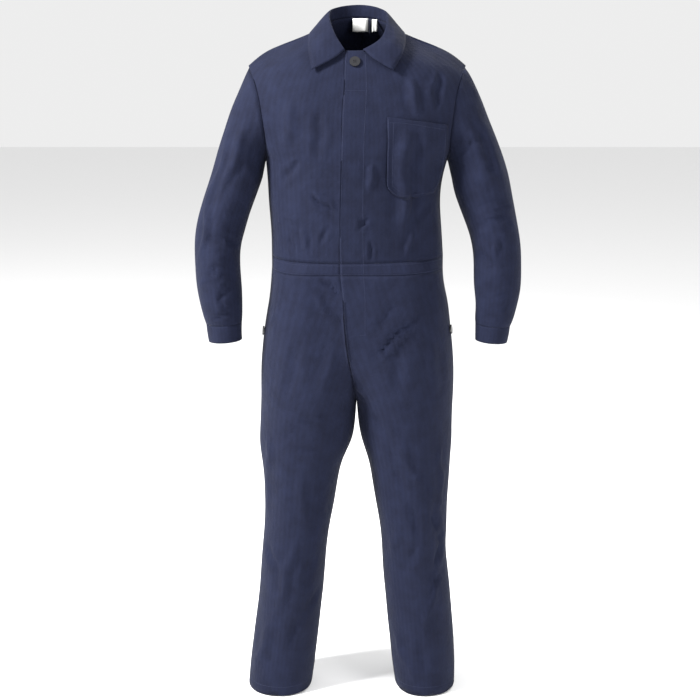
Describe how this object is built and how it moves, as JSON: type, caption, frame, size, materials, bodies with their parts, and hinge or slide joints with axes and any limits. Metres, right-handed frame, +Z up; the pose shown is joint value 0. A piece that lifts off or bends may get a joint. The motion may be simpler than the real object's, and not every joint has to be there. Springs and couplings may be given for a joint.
{
  "type": "boiler suit",
  "caption": "Navy herringbone cotton boiler suit, worn and hollow, with a pointed collar, chest pocket, waistband and cuffs.",
  "frame": {"origin": "the middle of the neck, level with the shoulders beside the collar, where the suit hangs on its wearer", "axes": "+Z up along the wearer's spine, -Y the way the front faces, +X the wearer's left"},
  "size_m": [0.7013, 0.2744, 1.5153],
  "materials": {
    "cloth": "matt",
    "button": "gloss",
    "label": "matt",
    "tape": "matt"
  },
  "bodies": {
    "root": {"front_right": "cloth", "front_left": "cloth", "back_right": "cloth", "back_left": "cloth", "leg_front_right": "cloth", "leg_front_left": "cloth", "leg_back_right": "cloth", "leg_back_left": "cloth", "sleeve_right": "cloth", "sleeve_left": "cloth", "collar": "cloth", "button_stand": "cloth", "chest_pocket": "cloth", "waistband_front_right": "cloth", "waistband_front_left": "cloth", "waistband_back": "cloth", "cuff_right": "cloth", "cuff_left": "cloth", "neck_button": "button", "hip_button_right": "button", "hip_button_left": "button", "label_main": "label", "label_size": "label", "hanger_loop": "tape"}
  },
  "joints": []
}
